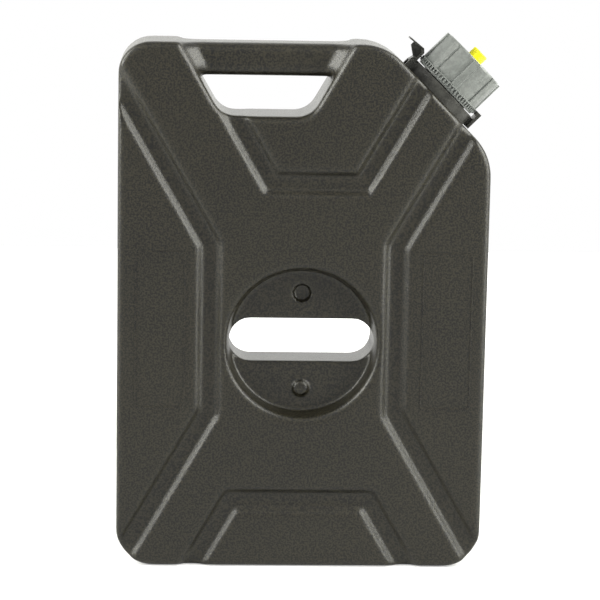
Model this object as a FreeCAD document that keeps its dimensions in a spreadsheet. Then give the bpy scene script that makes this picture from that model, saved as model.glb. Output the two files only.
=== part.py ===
import FreeCAD, Part
import math
import os
import re

import Sketcher
from FreeCAD import Placement, Rotation, Vector

doc = FreeCAD.newDocument("gas_can")
dims = doc.addObject("Spreadsheet::Sheet", "dims")

# Driving dimensions in millimetres and degrees. X runs along the wide face, Y from front to
# back, Z up from the ground. The can's middle plane is Y = 0.
SIZES = {
    # flat slab with one cut shoulder; cuts run a little past the outside
    "can_width": 279, "can_height": 400, "can_depth": 67, "wall_thick": 3,
    "low_corner": 28, "high_corner": 24, "shoulder_cut": 81, "shoulder_corner": 42,
    "edge_round": 4, "cut_past": 20,
    # stiffening grooves, the same on both faces
    "groove_width": 20, "groove_depth": 5, "groove_slope": 45, "groove_lean": 60,
    "groove_exit": 2.5, "groove_run": 195,
    "side_groove_x": 70.25, "side_groove_top": 249, "side_groove_low": 120.5,
    "top_groove_x": 9.5, "top_groove_z": 296, "top_groove_half": 34.25,
    "foot_groove_z": 52, "foot_groove_half": 52.25,
    # round dish with a slot through its floor, a knob and a matching hollow for stacking
    "dish_z": 174, "dish_radius": 57.5, "dish_depth": 15, "dish_draft": 12, "dish_rim": 5,
    "dish_lift": 0.05, "hollow_lift": 0.5, "slot_z": 174.5, "slot_length": 110, "slot_height": 33,
    "knob_offset": 36.5, "knob_radius": 6.3, "knob_height": 4, "knob_round": 3.4, "knob_gap": 0.4,
    # handle opening and its bar
    "grip_x": -29.5, "grip_floor": 345.5, "grip_roof": 374.5, "grip_half": 64.5,
    "grip_corner": 18, "grip_rim": 3.5, "grip_slope": 45, "bar_thick": 41, "bar_drop": 1,
    "bar_round": 7, "bar_flare": 9, "bar_ledge": 5,
    # filler neck on the cut shoulder, measured along its own axis from the shoulder's face
    "neck_radius": 21.5, "neck_bore": 18.5, "neck_height": 26,
    "thread_pitch": 4, "thread_depth": 1.8, "thread_width": 2.2, "thread_crest": 1,
    "thread_low": 12.5, "thread_turns": 1.75, "thread_gap": 0.3, "thread_root": 0.2,
    # collar round the foot of the neck, with its ears and its stop plate
    "collar_radius": 29.5, "collar_height": 8.7, "collar_bore": 24.5, "collar_foot": 3,
    "plate_near": 31.4, "plate_thick": 2.3, "plate_low": 0.6, "plate_high": 14.8,
    "plate_width": 18, "plate_root": 12, "lip_reach": 29.3, "lip_low": 11.8,
    # locking lever on a cross pin between the ears
    "pin_reach": 31.9, "pin_height": 4.2, "pin_radius": 1.2, "pin_gap": 0.05,
    "ear_thick": 2.4, "ear_radius": 2.8, "ear_round": 2.5,
    "lever_width": 12, "lever_hub": 2, "side_gap": 0.3,
    "arm_near": 30.1, "arm_thick": 1.4, "arm_bend": 16.1, "arm_top": 18.6,
    "tab_root": 32.8, "tab_reach": 46, "tab_drop": 1.4, "tab_thick": 1.3,
    "web_thick": 2.4, "web_reach": 41.3, "web_low": 13.5, "web_round": 0.8,
    "heel_near": 33.7, "heel_far": 35, "heel_low": 4.6, "heel_top": 9.8,
    "pawl_low": 11.3, "pawl_high": 13.6, "pawl_width": 1.2, "pawl_gap": 0.3,
    "pawl_lead": 1, "pawl_back": 0.5,
    # inner cap with its ring of teeth, and the gasket on the neck's rim
    "skirt_low": 9.5, "ring_top": 15, "ring_radius": 27.5, "brim_radius": 28.8, "brim_low": 14,
    "tooth_count": 60, "tooth_height": 1.2, "tooth_root": 1.7, "tooth_crest": 1.1,
    "tooth_low": 11, "tooth_sink": 0.3,
    "cap_radius": 26, "gasket_thick": 1.5, "gasket_bore": 17.5, "lid_thick": 3,
    "seat_radius": 8, "seat_depth": 2.5, "vent_circle": 5.2, "vent_radius": 1.1,
    # outer shell with grip ribs
    "shell_radius": 27, "shell_gap": 0.2, "shell_top": 40.2, "shell_crown": 40.5,
    "shell_roof": 37, "shell_round": 1.6, "rib_count": 8, "rib_width": 6, "rib_reach": 28.2,
    "rib_top": 39.8, "rib_round": 0.8, "rib_sink": 0.4,
    # vent button, stem, seal and spring
    "button_radius": 6.5, "button_gap": 0.3, "button_top": 47.4, "button_round": 0.8,
    "flange_radius": 8.2, "flange_low": 35, "flange_gap": 0.1,
    "stem_radius": 2.5, "stem_gap": 0.05, "stem_top": 41, "head_radius": 6.6,
    "head_thick": 2, "seal_thick": 2, "seal_radius": 6.8,
    "spring_radius": 3.6, "spring_wire": 0.7, "spring_turns": 3, "spring_gap": 0.02,
}

for row, (alias, size) in enumerate(SIZES.items(), start=1):
    dims.set("A%d" % row, alias)
    dims.set("B%d" % row, str(size))
    dims.setAlias("B%d" % row, alias)
doc.recompute()


def bound(text):
    return re.sub(r"[a-z_]+", lambda m: "dims." + m[0] if m[0] in SIZES else m[0], str(text))


def bind(feature, path, text):
    feature.setExpression(path, bound(text))


def value(text):
    return float(dims.evalExpression(bound(text)))


def newBody(name):
    body = doc.addObject("PartDesign::Body", name)
    body.Label = name
    return body


def origin(body, role):
    return next(item for item in body.Origin.OriginFeatures if item.Role == role)


def newSketch(body, role, offset="0", shift="0"):
    sketch = body.newObject("Sketcher::SketchObject", body.Name + "_sketch")
    sketch.AttachmentSupport = [(origin(body, role), "")]
    sketch.MapMode = "FlatFace"
    bind(sketch, "AttachmentOffset.Base.z", offset)
    bind(sketch, "AttachmentOffset.Base.y", shift)
    return sketch


def place(sketch, geometry, point, x, y):
    for kind, text in (("DistanceX", x), ("DistanceY", y)):
        rule = sketch.addConstraint(Sketcher.Constraint(kind, -1, 1, geometry, point, value(text)))
        bind(sketch, "Constraints[%d]" % rule, text)


def addRadius(sketch, arc, text):
    rule = sketch.addConstraint(Sketcher.Constraint("Radius", arc, value(text)))
    bind(sketch, "Constraints[%d]" % rule, text)


# Closed outline through corners written (x, y) or (x, y, radius).
def outline(sketch, corners):
    count = len(corners)
    spots = [Vector(value(corner[0]), value(corner[1]), 0) for corner in corners]
    entries, exits = [], []
    for i, corner in enumerate(corners):
        back = (spots[i - 1] - spots[i]).normalize()
        ahead = (spots[(i + 1) % count] - spots[i]).normalize()
        reach = 0
        if len(corner) > 2:
            reach = value(corner[2]) / math.tan(back.getAngle(ahead) / 2)
        entries.append(spots[i] + back * reach)
        exits.append(spots[i] + ahead * reach)
    lines = [sketch.addGeometry(Part.LineSegment(exits[i], entries[(i + 1) % count]), False)
             for i in range(count)]
    for i, corner in enumerate(corners):
        before, after = lines[i - 1], lines[i]
        if len(corner) < 3:
            sketch.addConstraint(Sketcher.Constraint("Coincident", before, 2, after, 1))
            place(sketch, after, 1, corner[0], corner[1])
            continue
        towards = (entries[i] + exits[i]) / 2 - spots[i]
        radius = value(corner[2])
        middle = spots[i] + towards.normalize() * (math.hypot(
            entries[i].distanceToPoint(spots[i]), radius) - radius)
        arc = sketch.addGeometry(Part.Arc(entries[i], middle, exits[i]), False)
        first = 1
        if sketch.Geometry[arc].StartPoint.distanceToPoint(entries[i]) > 0.001:
            first = 2
        sketch.addConstraint(Sketcher.Constraint("Tangent", before, 2, arc, first))
        sketch.addConstraint(Sketcher.Constraint("Tangent", arc, 3 - first, after, 1))
        addRadius(sketch, arc, corner[2])
        point = sketch.addGeometry(Part.Point(spots[i]), True)
        place(sketch, point, 1, corner[0], corner[1])
        sketch.addConstraint(Sketcher.Constraint("PointOnObject", point, 1, before))
        sketch.addConstraint(Sketcher.Constraint("PointOnObject", point, 1, after))


def disc(sketch, x, y, radius):
    circle = sketch.addGeometry(
        Part.Circle(Vector(value(x), value(y), 0), Vector(0, 0, 1), value(radius)), False)
    place(sketch, circle, 3, x, y)
    addRadius(sketch, circle, radius)


# Long opening with round ends, lying along X.
def stadium(sketch, length, height, level):
    run = value("(%s-%s)/2" % (length, height))
    radius = value(height) / 2
    z = value(level)
    arcs = []
    for side in (1, -1):
        circle = Part.Circle(Vector(side * run, z, 0), Vector(0, 0, 1), radius)
        turn = -math.pi / 2 if side > 0 else math.pi / 2
        arcs.append(sketch.addGeometry(Part.ArcOfCircle(circle, turn, turn + math.pi), False))
    top = sketch.addGeometry(Part.LineSegment(
        Vector(run, z + radius, 0), Vector(-run, z + radius, 0)), False)
    low = sketch.addGeometry(Part.LineSegment(
        Vector(-run, z - radius, 0), Vector(run, z - radius, 0)), False)
    joints = ((arcs[0], 2, top, 1), (top, 2, arcs[1], 1), (arcs[1], 2, low, 1), (low, 2, arcs[0], 1))
    for first, end, second, start in joints:
        sketch.addConstraint(Sketcher.Constraint("Tangent", first, end, second, start))
    for side, arc in zip((1, -1), arcs):
        place(sketch, arc, 3, "%d*(%s-%s)/2" % (side, length, height), level)
    addRadius(sketch, arcs[0], height + "/2")


def pad(body, sketch, length, midplane=False, flip=False):
    feature = body.newObject("PartDesign::Pad", body.Name + "_pad")
    feature.Profile = sketch
    feature.Midplane = midplane
    feature.Reversed = flip
    bind(feature, "Length", length)
    doc.recompute()
    return feature


def pocket(body, sketch, depth, slope=None, midplane=False, flip=False):
    before = body.Shape.Volume
    feature = body.newObject("PartDesign::Pocket", body.Name + "_pocket")
    feature.Profile = sketch
    feature.Midplane = midplane
    feature.Reversed = flip
    feature.Refine = False
    bind(feature, "Length", depth)
    if slope:
        bind(feature, "TaperAngle", slope)
    doc.recompute()
    if body.Shape.Volume > before - 1:
        raise ValueError(feature.Label + " cuts nothing")
    return feature


def revolve(body, sketch, cut=False, axis="V_Axis"):
    before = body.Shape.Volume if cut else 0
    kind = "Groove" if cut else "Revolution"
    feature = body.newObject("PartDesign::" + kind, body.Name + "_" + kind.lower())
    feature.Profile = sketch
    feature.ReferenceAxis = (sketch, [axis])
    feature.Angle = 360
    doc.recompute()
    if cut and body.Shape.Volume > before - 1:
        raise ValueError(feature.Label + " cuts nothing")
    return feature


def fillet(body, choose, radius):
    base = body.Tip
    names = ["Edge%d" % (i + 1) for i, edge in enumerate(base.Shape.Edges) if choose(edge)]
    feature = body.newObject("PartDesign::Fillet", body.Name + "_fillet")
    feature.Base = (base, names)
    bind(feature, "Radius", radius)
    doc.recompute()


def combine(body, tool, kind):
    feature = body.newObject("PartDesign::Boolean", body.Name + "_" + kind.lower())
    feature.Type = kind
    feature.setObjects([tool])
    doc.recompute()


def mirror(body, feature):
    copy = body.newObject("PartDesign::Mirrored", body.Name + "_mirrored")
    copy.Originals = [feature]
    copy.MirrorPlane = (origin(body, "XZ_Plane"), [""])
    body.Tip = copy
    doc.recompute()


def polar(body, feature, count):
    copy = body.newObject("PartDesign::PolarPattern", body.Name + "_pattern")
    copy.Originals = [feature]
    copy.Axis = (origin(body, "Z_Axis"), [""])
    copy.Angle = 360
    bind(copy, "Occurrences", count)
    body.Tip = copy
    doc.recompute()


def turned(body, corners):
    sketch = newSketch(body, "XZ_Plane")
    outline(sketch, corners)
    revolve(body, sketch)


# Flat piece drawn in a body's XZ plane and as thick on one side of it as on the other.
def plate(body, corners, thickness):
    sketch = newSketch(body, "XZ_Plane")
    outline(sketch, corners)
    pad(body, sketch, thickness, midplane=True)


def rod(body, x, y, radius, length):
    sketch = newSketch(body, "XZ_Plane")
    disc(sketch, x, y, radius)
    pad(body, sketch, length, midplane=True)


def wind(body, sketch, mode, angle=0):
    helix = body.newObject("PartDesign::AdditiveHelix", body.Name + "_helix")
    helix.Profile = sketch
    helix.ReferenceAxis = (sketch, ["V_Axis"])
    helix.Mode = mode
    helix.Angle = angle
    return helix


# The can's silhouette, drawn in from the outside by a margin. Its shoulder is cut at 45
# degrees, so the notch follows a margin by half of that angle.
def slab(body, margin, depth, corners):
    side = "(can_width/2-%s)" % margin
    top = "(can_height-%s)" % margin
    notch = "-shoulder_cut+%s*(1-tan(22.5))" % margin
    plate(body, [
        ("-" + side, margin, corners[0]), (side, margin, corners[0]),
        (side, top + notch, corners[2]), (side + notch, top, corners[2]),
        ("-" + side, top, corners[1])], depth)


def sideGroove(half, side):
    mitre = "(%s)*tan((90-groove_lean)/2)" % half
    outer = "%d*(side_groove_x+%s" % (side, half)
    inner = "%d*(side_groove_x-%s" % (side, half)
    return [
        (outer + ")", "side_groove_low+" + mitre), (outer + ")", "side_groove_top-" + mitre),
        (outer + "+%s)" % legX, "side_groove_top-%s+%s" % (mitre, legZ)),
        (inner + "+%s)" % legX, "side_groove_top+%s+%s" % (mitre, legZ)),
        (inner + ")", "side_groove_top+" + mitre), (inner + ")", "side_groove_low-" + mitre),
        (inner + "+%s)" % legX, "side_groove_low-%s-%s" % (mitre, legZ)),
        (outer + "+%s)" % legX, "side_groove_low+%s-%s" % (mitre, legZ))]


def cupGroove(half, middle, level, reach, up):
    mitre = "(%s)*tan(groove_lean/2)" % half
    wide = "(%s+%s)" % (reach, mitre)
    narrow = "(%s-%s)" % (reach, mitre)
    shut = "%s-%d*(%s)" % (level, up, half)
    mouth = "%s+%d*(%s)" % (level, up, half)
    far = "+%d*%s" % (up, legZ)
    return [
        ("%s-%s" % (middle, wide), shut), ("%s+%s" % (middle, wide), shut),
        ("%s+%s+%s" % (middle, wide, legX), shut + far),
        ("%s+%s+%s" % (middle, narrow, legX), mouth + far),
        ("%s+%s" % (middle, narrow), mouth), ("%s-%s" % (middle, narrow), mouth),
        ("%s-%s-%s" % (middle, narrow, legX), mouth + far),
        ("%s-%s-%s" % (middle, wide, legX), shut + far)]


def grooves(body, half, face, depth):
    outlines = [
        sideGroove(half, -1), sideGroove(half, 1),
        cupGroove(half, "top_groove_x", "top_groove_z", "top_groove_half", 1),
        cupGroove(half, "0", "foot_groove_z", "foot_groove_half", -1)]
    for sign in (1, -1):
        for corners in outlines:
            sketch = newSketch(body, "XZ_Plane", "%d*%s" % (sign, face))
            outline(sketch, corners)
            pocket(body, sketch, depth, slope="-groove_slope", flip=sign < 0)


# Dish on the front face and its mirror image. Its rim is a quarter round that starts just
# clear of the face.
def dishes(body, margin, rim, lift):
    sketch = newSketch(body, "YZ_Plane", shift="dish_z")
    face = "-can_depth/2+" + margin
    floor = face + "+dish_depth"
    wall = "dish_radius+" + margin
    outline(sketch, [
        (face + "-cut_past", "0"), (face + "-cut_past", wall + "+cut_past"),
        (face + "-" + lift, wall + "+cut_past"), (face + "-" + lift, wall) + rim,
        (floor, wall + "-dish_depth*tan(dish_draft)"), (floor, "0")])
    mirror(body, revolve(body, sketch, cut=True, axis="H_Axis"))


# On each face a hollow stands on one side of the slot and a knob on the other.
def knobHollow(body, sign, floor, radius):
    sketch = newSketch(body, "XZ_Plane", floor)
    disc(sketch, "0", "dish_z+%d*knob_offset" % sign, radius)
    pocket(body, sketch, "knob_height+knob_gap", flip=sign < 0)


# Handle opening as a trapezoid between two heights, grown by a margin square to its sides.
def gripArea(sketch, low, high, margin="0", corner=()):
    reach = "(grip_half+(%s)/sin(groove_lean)+(%s-can_height)/tan(groove_lean))"
    left = "grip_x-" + reach
    right = "grip_x+" + reach
    outline(sketch, [
        (left % (margin, low), low) + corner, (right % (margin, low), low) + corner,
        (right % (margin, high), high), (left % (margin, high), high)])


def onFace(level):
    return lambda edge: abs(abs(edge.CenterOfMass.y) - value(level)) < 0.01


# The long edges of the bar, with their flared ends.
def onBar(edge):
    box = edge.BoundBox
    near = [abs(box.ZMin - value(level)) < 0.001 for level in ("can_height-bar_drop", "grip_roof")]
    inside = 0.1 < abs(edge.CenterOfMass.y) < value("can_depth/2-bar_ledge") - 0.1
    return any(near) and box.ZLength < 0.001 and inside


def onKnob(edge):
    level = onFace("can_depth/2-dish_depth+knob_height")(edge)
    return level and abs(edge.CenterOfMass.x) < 0.01 and edge.Length < value("7*knob_radius")


# Pieces of the closure stand on the middle of the cut shoulder, with their own Z along the
# neck and their own X down the slope.
def closureBody(name):
    body = newBody(name)
    body.Placement = Placement(Vector(0, 0, 0), Rotation(Vector(0, 1, 0), 45))
    bind(body, "Placement.Base.x", "(can_width-shoulder_cut)/2")
    bind(body, "Placement.Base.z", "can_height-shoulder_cut/2")
    return body


def thread(body, root, crest, low):
    sketch = newSketch(body, "XZ_Plane")
    outline(sketch, [
        (root, low + "-thread_width/2"), (crest, low + "-thread_crest/2"),
        (crest, low + "+thread_crest/2"), (root, low + "+thread_width/2")])
    helix = wind(body, sketch, "pitch-turns-angle")
    bind(helix, "Pitch", "thread_pitch")
    bind(helix, "Turns", "thread_turns")
    doc.recompute()


# Tank: the slab with its rounded edges and grooves. A thinner core with its own small rounds
# fills the grooves up to their floors, so that they leave the sides softly.
outside = ("low_corner", "high_corner", "shoulder_corner")
legX = "groove_run*cos(groove_lean)"
legZ = "groove_run*sin(groove_lean)"
tank = newBody("tank")
slab(tank, "0", "can_depth", outside)
fillet(tank, onFace("can_depth/2"), "edge_round")
grooves(tank, "groove_width/2", "can_depth/2", "groove_depth+groove_exit")
core = newBody("tank_core")
slab(core, "0", "can_depth-2*groove_depth", outside)
fillet(core, onFace("can_depth/2-groove_depth"), "groove_exit")
combine(tank, core, "Fuse")

# Dishes, slot, and the knobs and hollows by which cans side by side lock together.
dishes(tank, "0", ("dish_rim",), "dish_lift")
sketch = newSketch(tank, "XZ_Plane")
stadium(sketch, "slot_length", "slot_height", "slot_z")
pocket(tank, sketch, "can_depth", midplane=True)
for sign in (1, -1):
    floor = "%d*(can_depth/2-dish_depth)" % sign
    knobHollow(tank, sign, floor, "knob_radius+knob_gap")
    sketch = newSketch(tank, "XZ_Plane", floor)
    disc(sketch, "0", "dish_z-%d*knob_offset" % sign, "knob_radius")
    pad(tank, sketch, "knob_height", flip=sign < 0)
fillet(tank, onKnob, "knob_round")

# Handle: the opening right through, its sloped rim on each face, and the bar set back from
# both faces with flared ends.
above = "can_height+cut_past"
barMiddle = "(grip_floor+grip_roof)/2"
barBack = "((can_depth-bar_thick)/2-bar_ledge)"
sketch = newSketch(tank, "XZ_Plane")
gripArea(sketch, "grip_floor", "grip_roof", corner=("grip_corner",))
pocket(tank, sketch, "2*can_depth", midplane=True)
for sign in (1, -1):
    face = "%d*can_depth/2" % sign
    back = sign < 0
    sketch = newSketch(tank, "XZ_Plane", face)
    gripArea(sketch, "grip_floor-grip_rim", above, "grip_rim", corner=("grip_corner+grip_rim",))
    pocket(tank, sketch, "grip_rim", slope="-grip_slope", flip=back)
    sketch = newSketch(tank, "XZ_Plane", face)
    gripArea(sketch, barMiddle, above)
    pocket(tank, sketch, "bar_ledge", flip=back)
    sketch = newSketch(tank, "XZ_Plane", "%d*(can_depth/2-bar_ledge)" % sign)
    gripArea(sketch, barMiddle, above)
    pocket(tank, sketch, barBack, slope="-atan(bar_flare/%s)" % barBack, flip=back)
sketch = newSketch(tank, "XZ_Plane")
gripArea(sketch, "can_height-bar_drop", above)
pocket(tank, sketch, "2*can_depth", midplane=True)
fillet(tank, onBar, "bar_round")

# The hollow inside: the same shapes drawn in by the wall, with a tunnel through the bar.
cavity = newBody("tank_cavity")
slab(cavity, "wall_thick", "can_depth-2*wall_thick", [name + "-wall_thick" for name in outside])
grooves(cavity, "(groove_width/2+wall_thick*tan(groove_slope/2))", "(can_depth/2-wall_thick)",
        "groove_depth")
dishes(cavity, "wall_thick", (), "hollow_lift")
sketch = newSketch(cavity, "XZ_Plane")
stadium(sketch, "(slot_length+2*wall_thick)", "(slot_height+2*wall_thick)", "slot_z")
pocket(cavity, sketch, "can_depth", midplane=True)
for sign in (1, -1):
    floor = "%d*(can_depth/2-dish_depth-wall_thick)" % sign
    knobHollow(cavity, sign, floor, "knob_radius+knob_gap+wall_thick")
sketch = newSketch(cavity, "XZ_Plane")
gripArea(sketch, "grip_floor-wall_thick", above, "wall_thick", corner=("grip_corner+wall_thick",))
pocket(cavity, sketch, "2*can_depth", midplane=True)
sketch = newSketch(cavity, "YZ_Plane", "grip_x")
tunnel = "(bar_thick/2-wall_thick)"
tunnelLow = "grip_roof+wall_thick"
tunnelTop = "can_height-bar_drop-wall_thick"
tunnelRound = "bar_round-wall_thick"
outline(sketch, [
    ("-" + tunnel, tunnelLow, tunnelRound), (tunnel, tunnelLow, tunnelRound),
    (tunnel, tunnelTop, tunnelRound), ("-" + tunnel, tunnelTop, tunnelRound)])
pad(cavity, sketch, "2*grip_half+4*wall_thick", midplane=True)

# Neck with its thread, and the throat that opens it into the hollow.
neck = closureBody("tank_neck")
turned(neck, [
    ("neck_bore", "-wall_thick"), ("neck_radius", "-wall_thick"),
    ("neck_radius", "neck_height"), ("neck_bore", "neck_height")])
thread(neck, "neck_radius-thread_root", "neck_radius+thread_depth", "thread_low")
throat = closureBody("tank_throat")
sketch = newSketch(throat, "XY_Plane", "-3*wall_thick")
disc(sketch, "0", "0", "neck_bore")
pad(throat, sketch, "3*wall_thick+neck_height+cut_past")
combine(tank, neck, "Fuse")
combine(cavity, throat, "Fuse")
combine(tank, cavity, "Cut")

# Collar with two ears for the lever's pin, and a stop plate with a lip on the other side.
collar = closureBody("lock_collar")
turned(collar, [
    ("neck_radius+thread_gap", "0"), ("collar_radius", "0"), ("collar_radius", "collar_height"),
    ("collar_bore", "collar_height"), ("collar_bore", "collar_foot"),
    ("neck_radius+thread_gap", "collar_foot")])
collarWall = "(collar_bore+collar_radius)/2"
earTop = "pin_height+ear_radius"
for side in (-1, 1):
    sketch = newSketch(collar, "XZ_Plane", "%d*(lever_width/2+side_gap+ear_thick/2)" % side)
    outline(sketch, [
        ("-pin_reach-ear_radius", "0"), ("-" + collarWall, "0"), ("-" + collarWall, earTop),
        ("-pin_reach-ear_radius", earTop, "ear_round")])
    pad(collar, sketch, "ear_thick", midplane=True)
sketch = newSketch(collar, "XZ_Plane")
disc(sketch, "-pin_reach", "pin_height", "pin_radius+pin_gap")
pocket(collar, sketch, "2*lever_width", midplane=True)
plate(collar, [
    ("plate_near", "plate_low"), ("plate_near+plate_thick", "plate_low"),
    ("plate_near+plate_thick", "plate_high"), ("lip_reach", "plate_high"),
    ("lip_reach", "lip_low"), ("plate_near", "lip_low")], "plate_width")
plate(collar, [
    (collarWall, "plate_low"), ("plate_near+plate_thick/2", "plate_low"),
    ("plate_near+plate_thick/2", "collar_height-plate_low"),
    (collarWall, "collar_height-plate_low")], "plate_root")

# Lever: arm with a tab that leans out, hub and pin, heel, web under the tab, and pawl.
lever = closureBody("lock_lever")
armMiddle = "-arm_near-arm_thick/2"
pawlTip = "-ring_radius-tooth_height-pawl_gap"
plate(lever, [
    ("-arm_near-arm_thick", "pin_height"), ("-arm_near", "pin_height"),
    ("-arm_near", "arm_bend"), ("-tab_root", "arm_top"), ("-tab_reach", "arm_top-tab_drop"),
    ("-tab_reach", "arm_top-tab_drop-tab_thick"), ("-tab_root-arm_thick", "arm_top-tab_thick"),
    ("-arm_near-arm_thick", "arm_bend-arm_thick")], "lever_width")
rod(lever, "-pin_reach", "pin_height", "lever_hub", "lever_width")
rod(lever, "-pin_reach", "pin_height", "pin_radius", "lever_width+2*side_gap+2*ear_thick")
plate(lever, [
    (armMiddle, "pin_height"), (armMiddle, "heel_top"), ("-heel_near", "heel_top"),
    ("-heel_far", "heel_low"), ("-pin_reach", "pin_height")], "lever_width")
plate(lever, [
    (armMiddle, "heel_top-arm_thick"), (armMiddle, "arm_bend"),
    ("-tab_root-arm_thick/2", "arm_top-tab_thick/2"),
    ("-web_reach", "arm_top-tab_drop-tab_thick/2"), ("-web_reach", "web_low", "web_round"),
    ("-heel_near", "heel_top-arm_thick")], "web_thick")
plate(lever, [
    (armMiddle, "pawl_low"), ("-arm_near", "pawl_low"), (pawlTip, "pawl_low+pawl_lead"),
    (pawlTip, "pawl_high-pawl_back"), ("-arm_near", "pawl_high"), (armMiddle, "pawl_high")],
    "pawl_width")

# Inner cap with its thread, brim, ratchet teeth and vent holes.
lidLow = "(neck_height+gasket_thick)"
lidTop = "(neck_height+gasket_thick+lid_thick)"
seat = "(neck_height+gasket_thick-seat_depth)"
capBore = "(neck_radius+thread_depth+thread_gap)"
stemBore = "stem_radius+stem_gap"
innerCap = closureBody("inner_cap")
turned(innerCap, [
    (capBore, "skirt_low"), ("ring_radius", "skirt_low"), ("ring_radius", "brim_low"),
    ("brim_radius", "brim_low"), ("brim_radius", "ring_top"), ("cap_radius", "ring_top"),
    ("cap_radius", lidTop), (stemBore, lidTop), (stemBore, seat), ("seat_radius", seat),
    ("seat_radius", lidLow), (capBore, lidLow)])
thread(innerCap, capBore + "+thread_root", "neck_radius+thread_gap",
       "thread_low+thread_pitch/2")
sketch = newSketch(innerCap, "XY_Plane", "tooth_low")
turn = "180/tooth_count"
spots = []
for reach, width, sides in (("ring_radius-tooth_sink", "tooth_root", (-1, 1)),
                            ("ring_radius+tooth_height", "tooth_crest", (1, -1))):
    for side in sides:
        spots.append(("(%s)*cos(%s)-%d*%s/2*sin(%s)" % (reach, turn, side, width, turn),
                      "(%s)*sin(%s)+%d*%s/2*cos(%s)" % (reach, turn, side, width, turn)))
outline(sketch, spots)
polar(innerCap, pad(innerCap, sketch, "brim_low-tooth_low+tooth_sink"), "tooth_count")
sketch = newSketch(innerCap, "XY_Plane", lidTop)
disc(sketch, "vent_circle", "0", "vent_radius")
polar(innerCap, pocket(innerCap, sketch, "lid_thick+seat_depth"), "3")

gasket = closureBody("cap_gasket")
turned(gasket, [
    ("gasket_bore", "neck_height"), (capBore + "-thread_gap", "neck_height"),
    (capBore + "-thread_gap", lidLow), ("gasket_bore", lidLow)])

# Outer shell with its grip ribs.
shell = closureBody("cap_shell")
buttonHole = "(button_radius+button_gap)"
turned(shell, [
    ("cap_radius+shell_gap", "ring_top"), ("shell_radius", "ring_top"),
    ("shell_radius", "shell_top", "shell_round"), (buttonHole, "shell_crown"),
    (buttonHole, "shell_roof"), ("cap_radius+shell_gap", "shell_roof")])
sketch = newSketch(shell, "XY_Plane", "ring_top")
outline(sketch, [
    ("shell_radius-rib_sink", "-rib_width/2"), ("rib_reach", "-rib_width/2", "rib_round"),
    ("rib_reach", "rib_width/2", "rib_round"), ("shell_radius-rib_sink", "rib_width/2")])
polar(shell, pad(shell, sketch, "rib_top-ring_top"), "rib_count")

# Vent: button, stem with its valve head, seal, and the spring between lid and button.
button = closureBody("vent_button")
turned(button, [
    (stemBore, "flange_low"), ("flange_radius", "flange_low"),
    ("flange_radius", "shell_roof-flange_gap"), ("button_radius", "shell_roof-flange_gap"),
    ("button_radius", "button_top", "button_round"), ("0", "button_top"), ("0", "stem_top"),
    (stemBore, "stem_top")])
stem = closureBody("valve_stem")
headTop = "(%s-seal_thick)" % seat
turned(stem, [
    ("0", headTop + "-head_thick"), ("head_radius", headTop + "-head_thick"),
    ("head_radius", headTop), ("stem_radius", headTop), ("stem_radius", "stem_top"),
    ("0", "stem_top")])
seal = closureBody("valve_seal")
turned(seal, [
    (stemBore, headTop), ("seal_radius", headTop), ("seal_radius", seat), (stemBore, seat)])
spring = closureBody("valve_spring")
sketch = newSketch(spring, "XZ_Plane")
disc(sketch, "spring_radius", lidTop + "+spring_wire/2+spring_gap", "spring_wire/2")
helix = wind(spring, sketch, "height-turns-angle")
bind(helix, "Height", "flange_low-%s-spring_wire-2*spring_gap" % lidTop)
bind(helix, "Turns", "spring_turns")
doc.recompute()

pieces = [tank, collar, lever, innerCap, gasket, shell, button, stem, seal, spring]
faults = [item.Label for item in doc.Objects if {"Invalid", "Error"} & set(item.State)]
faults += [body.Label for body in pieces
           if body.Shape.isNull() or not body.Shape.isValid() or len(body.Shape.Solids) != 1]
if faults:
    raise ValueError("failed: " + ", ".join(faults))
os.makedirs("parts", exist_ok=True)
for body in pieces:
    body.Shape.exportStep("parts/%s.step" % body.Label)
    print(body.Label, body.Shape.BoundBox, round(body.Shape.Volume))
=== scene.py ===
import bpy
import math
from mathutils import Matrix, Vector


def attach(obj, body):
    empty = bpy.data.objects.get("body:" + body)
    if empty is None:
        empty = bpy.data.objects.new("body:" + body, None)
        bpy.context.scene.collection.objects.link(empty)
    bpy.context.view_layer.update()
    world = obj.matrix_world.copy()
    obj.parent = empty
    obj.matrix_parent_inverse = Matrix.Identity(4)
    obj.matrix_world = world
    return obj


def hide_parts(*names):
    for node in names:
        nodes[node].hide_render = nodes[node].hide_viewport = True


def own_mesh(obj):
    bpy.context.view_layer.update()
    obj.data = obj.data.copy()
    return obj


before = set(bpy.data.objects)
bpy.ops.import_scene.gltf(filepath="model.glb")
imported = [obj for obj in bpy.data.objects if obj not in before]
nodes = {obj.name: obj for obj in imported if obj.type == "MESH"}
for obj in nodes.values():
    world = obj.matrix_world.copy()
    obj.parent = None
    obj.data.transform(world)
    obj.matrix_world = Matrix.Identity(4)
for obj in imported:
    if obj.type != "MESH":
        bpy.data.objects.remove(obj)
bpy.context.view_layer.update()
print("frame loaded,", len(nodes), "pieces")

# the closure stands on the cut shoulder, its axis half way between +X and +Z
closure = {"foot": Vector((0.099, 0, 0.3595)), "axis": Vector((1, 0, 1)).normalized()}


def alongNeck(point):
    # height up the closure's axis, and distance from it
    reach = point - closure["foot"]
    height = reach.dot(closure["axis"])
    return height, (reach - closure["axis"] * height).length


def leaveEdit():
    bpy.ops.object.mode_set(mode="OBJECT")


def deselectAll():
    if bpy.context.mode != "OBJECT":
        leaveEdit()
    bpy.ops.object.select_all(action="DESELECT")


def pick(piece):
    deselectAll()
    piece.select_set(True)
    bpy.context.view_layer.objects.active = piece


def editMesh(piece, choice):
    pick(piece)
    bpy.ops.object.mode_set(mode="EDIT")
    bpy.ops.mesh.select_all(action=choice)


cadCopy = {"weld": 0.000002}  # a CAD mesh is loose triangles, so a copy is welded


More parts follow.
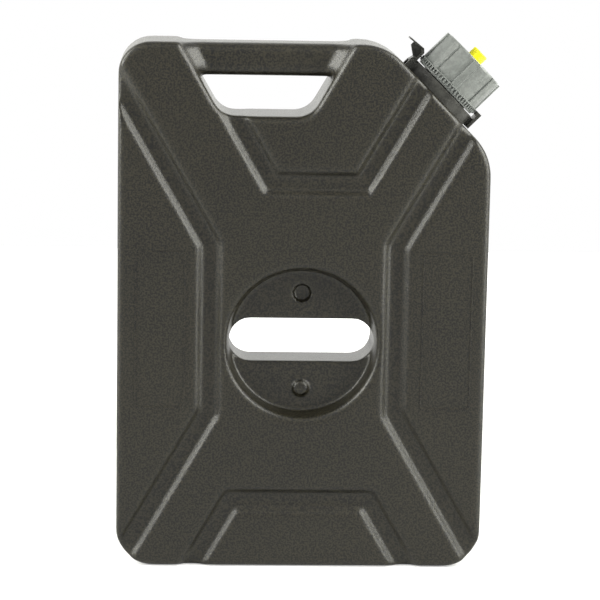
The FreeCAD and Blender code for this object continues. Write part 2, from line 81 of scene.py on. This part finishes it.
def copyOf(node, name):
    piece = nodes[node].copy()
    piece.data = nodes[node].data.copy()
    piece.name = piece.data.name = name
    for key in list(piece.keys()):
        del piece[key]
    piece.parent = None
    bpy.context.scene.collection.objects.link(piece)
    pick(piece)
    if piece.data.has_custom_normals:
        bpy.ops.mesh.customdata_custom_splitnormals_clear()
    editMesh(piece, "SELECT")
    bpy.ops.mesh.remove_doubles(threshold=cadCopy["weld"])
    leaveEdit()
    return piece


def applied(piece, kind, **settings):
    pick(piece)
    modifier = piece.modifiers.new(kind.lower(), kind)
    for key, value in settings.items():
        setattr(modifier, key, value)
    bpy.ops.object.modifier_apply(modifier=modifier.name)


def deleteWhere(piece, test):
    editMesh(piece, "DESELECT")
    bpy.ops.mesh.select_mode(type="VERT")
    leaveEdit()
    for vertex in piece.data.vertices:
        vertex.select = test(vertex.co)
    bpy.ops.object.mode_set(mode="EDIT")
    bpy.ops.mesh.delete(type="VERT")
    leaveEdit()


def smoothed(piece, angle):
    pick(piece)
    bpy.ops.object.shade_smooth_by_angle(angle=math.radians(angle))


def finished(piece, material):
    piece.data.materials.clear()
    piece.data.materials.append(material)


# materials

def nodeTree(name):
    material = bpy.data.materials.new(name)
    material.use_nodes = True
    tree = material.node_tree
    return material, tree, tree.nodes["Principled BSDF"]


def joinNodes(tree, start, output, end, entry):
    tree.links.new(start.outputs[output], end.inputs[entry])


def noise(tree, place, scale, detail, roughness):
    node = tree.nodes.new("ShaderNodeTexNoise")
    node.inputs["Scale"].default_value = scale
    node.inputs["Detail"].default_value = detail
    node.inputs["Roughness"].default_value = roughness
    joinNodes(tree, place, "Object", node, "Vector")
    return node


def remap(tree, source, output, band, low, high):
    # the values in the band spread from low to high
    node = tree.nodes.new("ShaderNodeMapRange")
    node.interpolation_type = "SMOOTHSTEP"
    entries = ("From Min", "From Max", "To Min", "To Max")
    for entry, value in zip(entries, (*band, low, high)):
        node.inputs[entry].default_value = value
    joinNodes(tree, source, output, node, "Value")
    return node


def blendColours(tree, source, output, first, second):
    node = tree.nodes.new("ShaderNodeMix")
    node.data_type = "RGBA"
    joinNodes(tree, source, output, node, "Factor")
    node.inputs["A"].default_value = (*first, 1)
    node.inputs["B"].default_value = (*second, 1)
    return node


def bump(tree, source, output, strength, distance, below=None):
    node = tree.nodes.new("ShaderNodeBump")
    node.inputs["Strength"].default_value = strength
    node.inputs["Distance"].default_value = distance
    joinNodes(tree, source, output, node, "Height")
    if below:
        joinNodes(tree, below, "Normal", node, "Normal")
    return node


# clouds and pebble vary the colour, grain varies the gloss, pebble and grain make the bump
mouldGrain = {
    "cloudDetail": 2.0, "cloudRoughness": 0.55, "cloudBand": (0.35, 0.65),
    "pebbleDetail": 2.0, "pebbleRoughness": 0.5, "pebbleBand": (0.38, 0.62), "pebbleDepth": 0.0006,
    "grainDetail": 4.0, "grainRoughness": 0.6, "grainBand": (0.3, 0.7), "grainDepth": 0.0004}


def mouldNoise(tree, place, kind, scale):
    return noise(tree, place, scale, mouldGrain[kind + "Detail"], mouldGrain[kind + "Roughness"])


def grainedPlastic(name, look):
    material, tree, shader = nodeTree(name)
    place = tree.nodes.new("ShaderNodeTexCoord")
    cloud = mouldNoise(tree, place, "cloud", look["cloudScale"])
    grain = mouldNoise(tree, place, "grain", look["grainScale"])
    pebble = mouldNoise(tree, place, "pebble", look["pebbleScale"])
    patch = remap(tree, cloud, "Fac", mouldGrain["cloudBand"], 0.0, 1.0)
    speck = remap(tree, pebble, "Fac", mouldGrain["pebbleBand"], 0.0, 1.0)
    share = tree.nodes.new("ShaderNodeMix")
    share.inputs["Factor"].default_value = look["speck"]
    joinNodes(tree, patch, "Result", share, "A")
    joinNodes(tree, speck, "Result", share, "B")
    colour = blendColours(tree, share, "Result", look["dark"], look["light"])
    joinNodes(tree, colour, "Result", shader, "Base Color")
    rough = remap(tree, grain, "Fac", mouldGrain["grainBand"], look["roughLow"], look["roughHigh"])
    joinNodes(tree, rough, "Result", shader, "Roughness")
    shader.inputs["Specular IOR Level"].default_value = look["shine"]
    coarse = bump(tree, pebble, "Fac", look["pebble"], mouldGrain["pebbleDepth"])
    fine = bump(tree, grain, "Fac", look["grain"], mouldGrain["grainDepth"], coarse)
    joinNodes(tree, fine, "Normal", shader, "Normal")
    return material


# speck is the pebble's share of the colour, grain and pebble are bump strengths
tankLook = {
    "dark": (0.0008, 0.0007, 0.0005), "light": (0.0176, 0.0158, 0.0095), "speck": 0.9,
    "cloudScale": 9.0, "grainScale": 2200.0, "pebbleScale": 720.0,
    "roughLow": 0.33, "roughHigh": 0.43, "shine": 0.30, "grain": 0.12, "pebble": 0.40}
fittingLook = {
    "dark": (0.014, 0.014, 0.012), "light": (0.044, 0.044, 0.040), "speck": 0.4,
    "cloudScale": 120.0, "grainScale": 2600.0, "pebbleScale": 900.0,
    "roughLow": 0.38, "roughHigh": 0.50, "shine": 0.2, "grain": 0.15, "pebble": 0.10}
capLook = {
    "dark": (0.096, 0.103, 0.098), "light": (0.138, 0.148, 0.141), "speck": 0.4,
    "cloudScale": 260.0, "grainScale": 2400.0, "pebbleScale": 700.0,
    "roughLow": 0.36, "roughHigh": 0.50, "shine": 0.45, "grain": 0.15, "pebble": 0.12}
buttonLook = {
    "dark": (0.93, 0.86, 0.010), "light": (0.98, 0.93, 0.015), "speck": 0.3,
    "cloudScale": 60.0, "grainScale": 2200.0, "pebbleScale": 500.0,
    "roughLow": 0.28, "roughHigh": 0.38, "shine": 0.4, "grain": 0.02, "pebble": 0.015}
stemLook = {
    "dark": (0.66, 0.66, 0.62), "light": (0.72, 0.72, 0.68), "speck": 0.3,
    "cloudScale": 60.0, "grainScale": 2200.0, "pebbleScale": 500.0,
    "roughLow": 0.30, "roughHigh": 0.42, "shine": 0.4, "grain": 0.06, "pebble": 0.05}
sealLook = {
    "dark": (0.016, 0.016, 0.016), "light": (0.024, 0.024, 0.024), "speck": 0.4,
    "cloudScale": 60.0, "grainScale": 1800.0, "pebbleScale": 600.0,
    "roughLow": 0.62, "roughHigh": 0.80, "shine": 0.3, "grain": 0.20, "pebble": 0.15}

tankPlastic = grainedPlastic("tankPlastic", tankLook)
fittingPlastic = grainedPlastic("fittingPlastic", fittingLook)
capPlastic = grainedPlastic("capPlastic", capLook)
buttonPlastic = grainedPlastic("buttonPlastic", buttonLook)
stemPlastic = grainedPlastic("stemPlastic", stemLook)
sealRubber = grainedPlastic("sealRubber", sealLook)

# drawn steel wire
springLook = {
    "dark": (0.42, 0.42, 0.43), "light": (0.55, 0.55, 0.56),
    "streakScale": 900.0, "streakDetail": 3.0, "streakRoughness": 0.55, "streakBand": (0.3, 0.7),
    "roughLow": 0.22, "roughHigh": 0.36}


def springSteel():
    material, tree, shader = nodeTree("springSteel")
    place = tree.nodes.new("ShaderNodeTexCoord")
    streak = noise(tree, place, springLook["streakScale"], springLook["streakDetail"],
                   springLook["streakRoughness"])
    shade = blendColours(tree, streak, "Fac", springLook["dark"], springLook["light"])
    joinNodes(tree, shade, "Result", shader, "Base Color")
    rough = remap(tree, streak, "Fac", springLook["streakBand"],
                  springLook["roughLow"], springLook["roughHigh"])
    joinNodes(tree, rough, "Result", shader, "Roughness")
    shader.inputs["Metallic"].default_value = 1.0
    return material


print("materials done")

# tank: the moulding's corners are softly rounded, so a copy of the outer skin is remeshed
tankSkin = {
    "voxel": 0.0013, "smoothing": 0.5, "rounds": 6, "moreRounds": 16, "mostFaces": 180000,
    "dish": Vector((0, 0, 0.174)), "dishReach": 0.0555,  # the dish keeps its crisp edge
    "neckFoot": 0.0001, "neckReach": 0.025,  # what is cut off the skin
    "neckRoot": -0.004, "neckWall": 0.0235,  # what is kept as the neck
    "shoulderReach": 0.036,  # the shoulder keeps its edge this far round the neck
    "smoothAngle": 40, "normalWeight": 80}


def onNeck(point):
    height, reach = alongNeck(point)
    return height > tankSkin["neckFoot"] and reach < tankSkin["neckReach"]


def offNeck(point):
    height, reach = alongNeck(point)
    return height < tankSkin["neckRoot"] or reach > tankSkin["neckWall"]


def awayFromDetail(point):
    fromDish = (Vector((point.x, 0, point.z)) - tankSkin["dish"]).length
    fromNeck = alongNeck(point)[1]
    return fromDish > tankSkin["dishReach"] and fromNeck > tankSkin["shoulderReach"]


def outerSkin():
    skin = copyOf("tank", "tankSkin")
    deleteWhere(skin, onNeck)
    editMesh(skin, "SELECT")
    bpy.ops.mesh.separate(type="LOOSE")
    leaveEdit()
    shells = sorted(bpy.context.selected_objects, key=lambda part: part.dimensions.y)
    skin = shells.pop()  # the outer skin is the deepest shell
    for inner in shells:
        bpy.data.objects.remove(inner)
    skin.name = "tankSkin"
    editMesh(skin, "DESELECT")
    bpy.ops.mesh.select_mode(type="EDGE")
    bpy.ops.mesh.select_non_manifold()
    bpy.ops.mesh.edge_face_add()  # a flat face closes the hole where the neck was
    leaveEdit()
    return skin


def softTank():
    neck = copyOf("tank", "tankNeck")
    deleteWhere(neck, offNeck)
    skin = outerSkin()
    applied(skin, "REMESH", mode="VOXEL", voxel_size=tankSkin["voxel"], use_smooth_shade=True)
    print("tank skin", len(skin.data.polygons), "faces after remeshing")
    applied(skin, "SMOOTH", factor=tankSkin["smoothing"], iterations=tankSkin["rounds"])
    softer = skin.vertex_groups.new(name="softer")
    far = [vertex.index for vertex in skin.data.vertices if awayFromDetail(vertex.co)]
    softer.add(far, 1.0, "REPLACE")
    applied(skin, "SMOOTH", factor=tankSkin["smoothing"], iterations=tankSkin["moreRounds"],
            vertex_group=softer.name)
    triangles = 2 * len(skin.data.polygons)
    if triangles > tankSkin["mostFaces"]:
        applied(skin, "DECIMATE", ratio=tankSkin["mostFaces"] / triangles)
    pick(skin)
    neck.select_set(True)
    bpy.ops.object.join()
    smoothed(skin, tankSkin["smoothAngle"])
    applied(skin, "WEIGHTED_NORMAL", keep_sharp=True, weight=tankSkin["normalWeight"])
    finished(skin, tankPlastic)
    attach(skin, "can")
    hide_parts("tank")
    print("tank done,", len(skin.data.polygons), "faces")


softTank()

# small moulded pieces: the CAD shape with its sharp edges broken
edgeBreak = {
    "width": {"lock_collar": 0.00025, "lock_lever": 0.0002, "inner_cap": 0.00012,
              "cap_shell": 0.00025, "vent_button": 0.00025},
    "segments": 2, "angle": 38, "smoothAngle": 35, "normalWeight": 60}


def softPiece(node, body, material):
    piece = copyOf(node, node + "Soft")
    applied(piece, "BEVEL", width=edgeBreak["width"][node], segments=edgeBreak["segments"],
            limit_method="ANGLE", angle_limit=math.radians(edgeBreak["angle"]))
    smoothed(piece, edgeBreak["smoothAngle"])
    applied(piece, "WEIGHTED_NORMAL", keep_sharp=True, weight=edgeBreak["normalWeight"])
    finished(piece, material)
    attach(piece, body)
    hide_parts(node)


softPiece("lock_collar", "can", fittingPlastic)
softPiece("lock_lever", "lever", fittingPlastic)
softPiece("inner_cap", "cap", capPlastic)
softPiece("cap_shell", "cap", capPlastic)
softPiece("vent_button", "vent", buttonPlastic)
finished(nodes["cap_gasket"], sealRubber)
finished(nodes["valve_seal"], sealRubber)
finished(nodes["valve_stem"], stemPlastic)

# the spring wire: a smooth-shaded steel copy of the CAD spring with its own mesh; the joint and
# the button's travel listed here are not read
springFold = {"joint": "vent_press", "travel": 0.0025, "smoothAngle": 50}


def pressedSpring():
    spring = copyOf("valve_spring", "valveSpringWire")
    smoothed(spring, springFold["smoothAngle"])
    finished(spring, springSteel())
    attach(spring, "cap")
    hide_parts("valve_spring")
    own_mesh(spring)


pressedSpring()
print("closure done")

# plain raised frames on the two bare fields of the front face
frameRib = {
    "left": (-0.126, -0.088), "right": (0.090, 0.128), "low": 0.124, "high": 0.244,
    "face": -0.0335, "width": 0.0010, "height": 0.0004, "corner": 0.003, "cornerSteps": 5,
    "edge": 0.0001, "edgeSteps": 2, "edgeAngle": 40}


def plainFrame(name, sides):
    middle = (sum(sides) / 2, frameRib["face"], (frameRib["low"] + frameRib["high"]) / 2)
    deselectAll()
    bpy.ops.mesh.primitive_plane_add(size=1, location=middle, rotation=(math.pi / 2, 0, 0))
    rib = bpy.context.object
    rib.name = rib.data.name = name
    rib.scale = (sides[1] - sides[0], frameRib["high"] - frameRib["low"], 1)
    bpy.ops.object.transform_apply(location=True, rotation=True, scale=True)
    editMesh(rib, "SELECT")
    bpy.ops.mesh.bevel(offset=frameRib["corner"], segments=frameRib["cornerSteps"],
                       affect="VERTICES")
    bpy.ops.mesh.select_all(action="SELECT")
    bpy.ops.mesh.inset(thickness=frameRib["width"])
    bpy.ops.mesh.delete(type="FACE")  # the inner field, which the inset leaves selected
    leaveEdit()
    applied(rib, "SOLIDIFY", thickness=frameRib["height"] * 2, offset=0)  # half sinks in
    applied(rib, "BEVEL", width=frameRib["edge"], segments=frameRib["edgeSteps"],
            limit_method="ANGLE", angle_limit=math.radians(frameRib["edgeAngle"]))
    smoothed(rib, frameRib["edgeAngle"])
    finished(rib, tankPlastic)
    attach(rib, "can")


plainFrame("plainFrameLeft", frameRib["left"])
plainFrame("plainFrameRight", frameRib["right"])
print("frames done")

# floor, world and lamps
studio = {
    "floorSize": 3, "floorDrop": 0.0002, "floorColour": (0.5, 0.5, 0.5), "floorRoughness": 0.9,
    "nearGlow": 0.45, "farGlow": 1.0, "glowReach": (0.4, 1.0),  # white away from the object
    "white": (1, 1, 1, 1), "worldGlow": 0.13, "backdropGlow": 1.0,
    "lamps": [
        # name, place, width, length, watts
        ("leftStrip", (-1.08, -0.24, 0.70), 0.6, 0.9, 38.0),
        ("rightSoft", (1.0, -0.32, 0.82), 0.8, 1.0, 39.0),
        ("rightLow", (1.1, -0.6, 0.1), 0.4, 0.5, 9.0),
        ("backPanel", (0.0, 1.4, 0.55), 1.8, 0.9, 7.0),
        ("frontSoft", (-0.8, -2.2, 2.0), 1.6, 1.6, 13.0)],
    "lampColour": (1.0, 1.0, 0.93), "aim": (0.0, 0.0, 0.2)}


def whiteToCamera(tree, output, plain, glow):
    # glow for camera, glossy and transmission rays, plain for the light on the object
    path = tree.nodes.new("ShaderNodeLightPath")
    through, seen = (tree.nodes.new("ShaderNodeMath") for _ in range(2))
    through.operation = seen.operation = "MAXIMUM"
    joinNodes(tree, path, "Is Glossy Ray", through, 0)
    joinNodes(tree, path, "Is Transmission Ray", through, 1)
    joinNodes(tree, path, "Is Camera Ray", seen, 0)
    joinNodes(tree, through, "Value", seen, 1)
    mixed = tree.nodes.new("ShaderNodeMixShader")
    joinNodes(tree, seen, "Value", mixed, "Fac")
    joinNodes(tree, plain, 0, mixed, 1)
    joinNodes(tree, glow, 0, mixed, 2)
    joinNodes(tree, mixed, 0, output, "Surface")


def paleFloor():
    deselectAll()
    bpy.ops.mesh.primitive_plane_add(size=studio["floorSize"],
                                     location=(0, 0, -studio["floorDrop"]))
    floor = bpy.context.object
    floor.name = "floor"
    material, tree, shader = nodeTree("floorPaper")
    shader.inputs["Base Color"].default_value = (*studio["floorColour"], 1)
    shader.inputs["Roughness"].default_value = studio["floorRoughness"]
    glow = tree.nodes.new("ShaderNodeEmission")
    place = tree.nodes.new("ShaderNodeTexCoord")
    reach = tree.nodes.new("ShaderNodeVectorMath")
    reach.operation = "LENGTH"
    joinNodes(tree, place, "Object", reach, 0)
    level = remap(tree, reach, "Value", studio["glowReach"], studio["nearGlow"], studio["farGlow"])
    joinNodes(tree, level, "Result", glow, "Strength")
    both = tree.nodes.new("ShaderNodeAddShader")
    joinNodes(tree, shader, 0, both, 0)
    joinNodes(tree, glow, 0, both, 1)
    whiteToCamera(tree, tree.nodes["Material Output"], shader, both)
    finished(floor, material)


def whiteWorld():
    world = bpy.data.worlds.new("studio")
    bpy.context.scene.world = world
    world.use_nodes = True
    tree = world.node_tree
    plain = tree.nodes["Background"]
    backdrop = tree.nodes.new("ShaderNodeBackground")
    for light, level in ((plain, studio["worldGlow"]), (backdrop, studio["backdropGlow"])):
        light.inputs["Color"].default_value = studio["white"]
        light.inputs["Strength"].default_value = level
    whiteToCamera(tree, tree.nodes["World Output"], plain, backdrop)


def softLamp(name, place, width, length, watts):
    deselectAll()
    bpy.ops.object.light_add(type="AREA", location=place)
    lamp = bpy.context.object
    lamp.name = name
    lamp.data.shape = "RECTANGLE"
    lamp.data.size = width
    lamp.data.size_y = length
    lamp.data.energy = watts
    lamp.data.color = studio["lampColour"]
    ahead = Vector(studio["aim"]) - Vector(place)
    lamp.rotation_euler = ahead.to_track_quat("-Z", "Y").to_euler()


paleFloor()
whiteWorld()
for lamp in studio["lamps"]:
    softLamp(*lamp)

# the photograph's view: metres, degrees, and millimetres for lens and sensor
photoView = {
    "aim": Vector((-0.00218, -0.0335, 0.208)), "distance": 1.826,
    "yaw": 2.6632, "pitch": 10.2817, "roll": 1.0648,
    "lens": 145.8, "sensor": 36, "near": 0.05, "far": 50}


def photoCamera():
    deselectAll()
    bpy.ops.object.camera_add()
    camera = bpy.context.object
    yaw, pitch, roll = (math.radians(photoView[key]) for key in ("yaw", "pitch", "roll"))
    ahead = Vector((math.sin(yaw) * math.cos(pitch), math.cos(yaw) * math.cos(pitch),
                    -math.sin(pitch)))
    right = Vector((math.cos(yaw), -math.sin(yaw), 0))
    up = right.cross(ahead)
    tiltedRight = right * math.cos(roll) + up * math.sin(roll)
    tiltedUp = up * math.cos(roll) - right * math.sin(roll)
    turn = Matrix((tiltedRight, tiltedUp, -ahead)).transposed().to_4x4()
    stand = photoView["aim"] - ahead * photoView["distance"]
    camera.matrix_world = Matrix.Translation(stand) @ turn
    camera.data.lens = photoView["lens"]
    camera.data.sensor_width = photoView["sensor"]
    camera.data.clip_start = photoView["near"]
    camera.data.clip_end = photoView["far"]
    bpy.context.scene.camera = camera


photoCamera()
bpy.context.scene.view_settings.view_transform = "Standard"
print("studio done")
